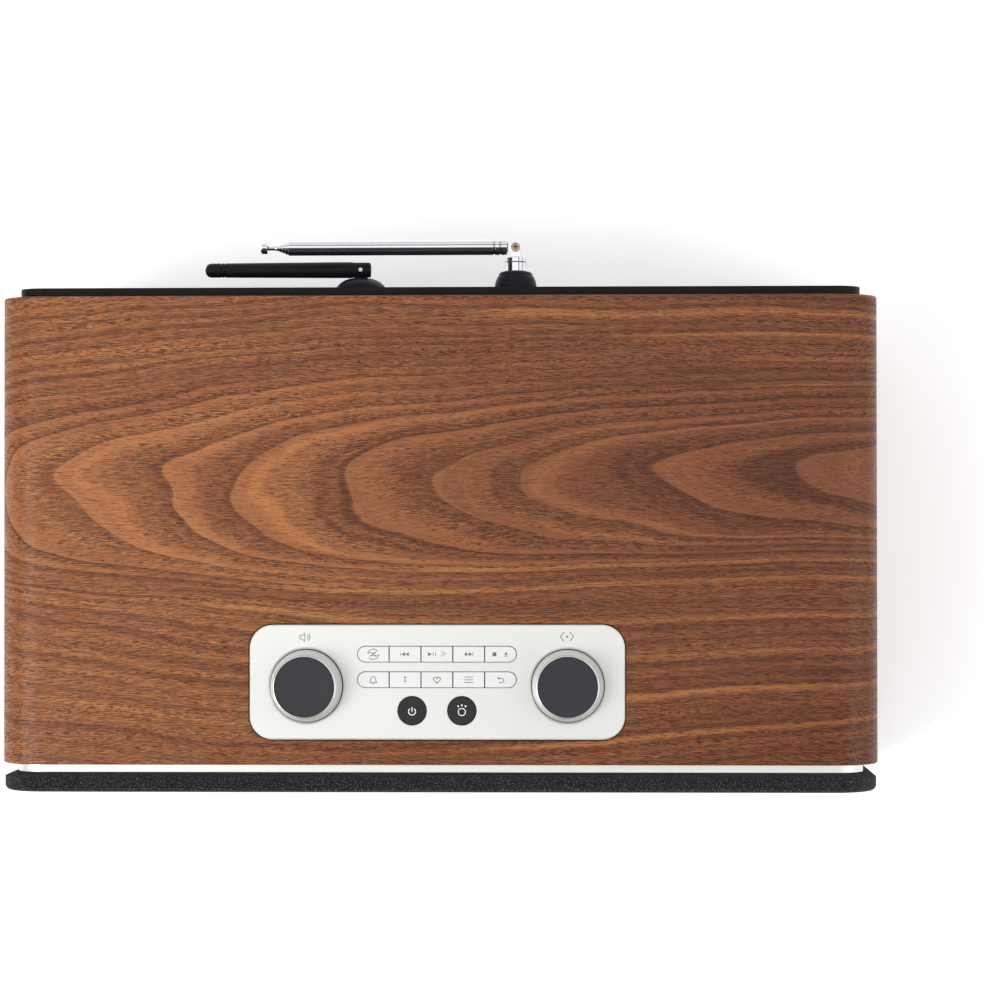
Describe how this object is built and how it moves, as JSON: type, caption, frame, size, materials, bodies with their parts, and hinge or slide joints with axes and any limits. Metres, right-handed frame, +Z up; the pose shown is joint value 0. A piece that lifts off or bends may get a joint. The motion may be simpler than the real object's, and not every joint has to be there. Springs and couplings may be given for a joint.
{
  "type": "tabletop radio",
  "caption": "Wooden tabletop radio and disc player with a cloth front, silver control plate with push keys and turning knobs, telescopic aerial and hinged network aerial",
  "frame": {"origin": "on the table, under the middle of the overall bounding box", "axes": "+X to the radio's right as seen from the front (longest), +Y from the front to the back, +Z up (shortest)"},
  "size_m": [0.42, 0.264, 0.1606],
  "materials": {
    "walnut": "satin oiled walnut veneer",
    "board_wood": "raw board",
    "black_plastic": "matt black, fine texture",
    "gloss_black": "gloss black",
    "boot_plastic": "satin blue-black",
    "satin_silver": "bead-blasted and anodised",
    "chrome": "polished",
    "slate_cap": "satin slate grey",
    "white_key": "satin white",
    "charcoal_key": "satin charcoal",
    "grille_fabric": "woven loudspeaker cloth",
    "display_glass": "tinted",
    "rubber": "matt",
    "circuit_board": "green solder mask",
    "steel": "zinc plated",
    "dark_screw": "blackened",
    "magnet": "ferrite and plated iron",
    "cone_plastic": "matt",
    "natural_plastic": "natural"
  },
  "bodies": {
    "cabinet": {"wood_cabinet": "walnut", "back_panel": "black_plastic", "case_screws": "dark_screw", "front_trim": "satin_silver", "front_baffle": "board_wood", "grille_frame": "black_plastic", "grille_cloth": "grille_fabric", "fascia": "gloss_black", "display_lens": "display_glass", "display_module": "circuit_board", "cd_drive": "steel", "inner_dividers": "board_wood", "bass_ports": "black_plastic", "main_board": "circuit_board", "heat_sink": "steel", "power_supply": "circuit_board", "mains_inlet": "black_plastic", "jack_sockets": "black_plastic", "usb_socket": "steel", "control_plate": "satin_silver", "button_frame": "black_plastic", "control_board": "circuit_board", "encoders": "steel", "feet": "rubber", "woofer_baskets": "dark_screw", "woofer_magnets": "magnet", "woofer_suspensions": "rubber", "tweeters": "cone_plastic", "aerial_boot": "boot_plastic"},
    "volume": {"volume_knob": "satin_silver", "volume_knob_cap": "slate_cap", "volume_shaft": "steel"},
    "tuning_push": {"tuning_plunger": "natural_plastic"},
    "tuning": {"tuning_knob": "satin_silver", "tuning_knob_cap": "slate_cap", "tuning_shaft": "steel"},
    "left_cone": {"left_woofer_cone": "cone_plastic"},
    "right_cone": {"right_woofer_cone": "cone_plastic"},
    "key_shuffle": {"button_shuffle": "white_key"},
    "key_previous": {"button_previous": "white_key"},
    "key_play": {"button_play": "white_key"},
    "key_next": {"button_next": "white_key"},
    "key_stop": {"button_stop": "white_key"},
    "key_alarm": {"button_alarm": "white_key"},
    "key_info": {"button_info": "white_key"},
    "key_favourite": {"button_favourite": "white_key"},
    "key_menu": {"button_menu": "white_key"},
    "key_back": {"button_back": "white_key"},
    "key_power": {"button_power": "charcoal_key"},
    "key_source": {"button_source": "charcoal_key"},
    "aerial_mast": {"aerial_swivel": "chrome", "aerial_pivot_screw": "chrome"},
    "aerial_rod": {"aerial_tube_1": "chrome"},
    "aerial_stage_2": {"aerial_tube_2": "chrome"},
    "aerial_stage_3": {"aerial_tube_3": "chrome"},
    "aerial_stage_4": {"aerial_tube_4": "chrome"},
    "aerial_end": {"aerial_tip": "chrome"},
    "wifi_dome": {"wifi_base": "boot_plastic", "wifi_pin": "steel"},
    "wifi_arm": {"wifi_stick": "boot_plastic"}
  },
  "joints": [
    {"name": "volume_turn", "type": "hinge", "parent": "cabinet", "child": "volume", "pos_m": [-0.062, -0.08145, 0.155], "axis": [0, 0, -1], "continuous": true},
    {"name": "tuning_press", "type": "slide", "parent": "cabinet", "child": "tuning_push", "axis": [0, 0, -1], "range_m": [0, 0.0005], "stiffness_N_per_m": 2000, "springref_m": -0.001},
    {"name": "tuning_turn", "type": "hinge", "parent": "tuning_push", "child": "tuning", "pos_m": [0.062, -0.08145, 0.155], "axis": [0, 0, -1], "continuous": true},
    {"name": "left_cone_stroke", "type": "slide", "parent": "cabinet", "child": "left_cone", "axis": [0, 1, 0], "range_m": [-0.003, 0.003], "stiffness_N_per_m": 1500},
    {"name": "right_cone_stroke", "type": "slide", "parent": "cabinet", "child": "right_cone", "axis": [0, 1, 0], "range_m": [-0.003, 0.003], "stiffness_N_per_m": 1500},
    {"name": "shuffle_press", "type": "slide", "parent": "cabinet", "child": "key_shuffle", "axis": [0, 0, -1], "range_m": [0, 0.0008], "stiffness_N_per_m": 1000, "springref_m": -0.001},
    {"name": "previous_press", "type": "slide", "parent": "cabinet", "child": "key_previous", "axis": [0, 0, -1], "range_m": [0, 0.0008], "stiffness_N_per_m": 1000, "springref_m": -0.001},
    {"name": "play_press", "type": "slide", "parent": "cabinet", "child": "key_play", "axis": [0, 0, -1], "range_m": [0, 0.0008], "stiffness_N_per_m": 1000, "springref_m": -0.001},
    {"name": "next_press", "type": "slide", "parent": "cabinet", "child": "key_next", "axis": [0, 0, -1], "range_m": [0, 0.0008], "stiffness_N_per_m": 1000, "springref_m": -0.001},
    {"name": "stop_press", "type": "slide", "parent": "cabinet", "child": "key_stop", "axis": [0, 0, -1], "range_m": [0, 0.0008], "stiffness_N_per_m": 1000, "springref_m": -0.001},
    {"name": "alarm_press", "type": "slide", "parent": "cabinet", "child": "key_alarm", "axis": [0, 0, -1], "range_m": [0, 0.0008], "stiffness_N_per_m": 1000, "springref_m": -0.001},
    {"name": "info_press", "type": "slide", "parent": "cabinet", "child": "key_info", "axis": [0, 0, -1], "range_m": [0, 0.0008], "stiffness_N_per_m": 1000, "springref_m": -0.001},
    {"name": "favourite_press", "type": "slide", "parent": "cabinet", "child": "key_favourite", "axis": [0, 0, -1], "range_m": [0, 0.0008], "stiffness_N_per_m": 1000, "springref_m": -0.001},
    {"name": "menu_press", "type": "slide", "parent": "cabinet", "child": "key_menu", "axis": [0, 0, -1], "range_m": [0, 0.0008], "stiffness_N_per_m": 1000, "springref_m": -0.001},
    {"name": "back_press", "type": "slide", "parent": "cabinet", "child": "key_back", "axis": [0, 0, -1], "range_m": [0, 0.0008], "stiffness_N_per_m": 1000, "springref_m": -0.001},
    {"name": "power_press", "type": "slide", "parent": "cabinet", "child": "key_power", "axis": [0, 0, -1], "range_m": [0, 0.0008], "stiffness_N_per_m": 1000, "springref_m": -0.001},
    {"name": "source_press", "type": "slide", "parent": "cabinet", "child": "key_source", "axis": [0, 0, -1], "range_m": [0, 0.0008], "stiffness_N_per_m": 1000, "springref_m": -0.001},
    {"name": "aerial_turn", "type": "hinge", "parent": "cabinet", "child": "aerial_mast", "pos_m": [0.037, 0.115, 0.127], "axis": [0, 1, 0], "continuous": true},
    {"name": "aerial_fold", "type": "hinge", "parent": "aerial_mast", "child": "aerial_rod", "pos_m": [0.037, 0.12845, 0.127], "axis": [0, 0, -1], "range_deg": [0, 180]},
    {"name": "aerial_draw_1", "type": "slide", "parent": "aerial_rod", "child": "aerial_stage_2", "axis": [-1, 0, 0], "range_m": [0, 0.085]},
    {"name": "aerial_draw_2", "type": "slide", "parent": "aerial_stage_2", "child": "aerial_stage_3", "axis": [-1, 0, 0], "range_m": [0, 0.085]},
    {"name": "aerial_draw_3", "type": "slide", "parent": "aerial_stage_3", "child": "aerial_stage_4", "axis": [-1, 0, 0], "range_m": [0, 0.085]},
    {"name": "aerial_draw_4", "type": "slide", "parent": "aerial_stage_4", "child": "aerial_end", "axis": [-1, 0, 0], "range_m": [0, 0.085]},
    {"name": "wifi_turn", "type": "hinge", "parent": "cabinet", "child": "wifi_dome", "pos_m": [-0.0386, 0.112, 0.115], "axis": [0, 1, 0], "range_deg": [-90, 120]},
    {"name": "wifi_fold", "type": "hinge", "parent": "wifi_dome", "child": "wifi_arm", "pos_m": [-0.0386, 0.11895, 0.115], "axis": [0, 0, -1], "range_deg": [0, 90]}
  ]
}
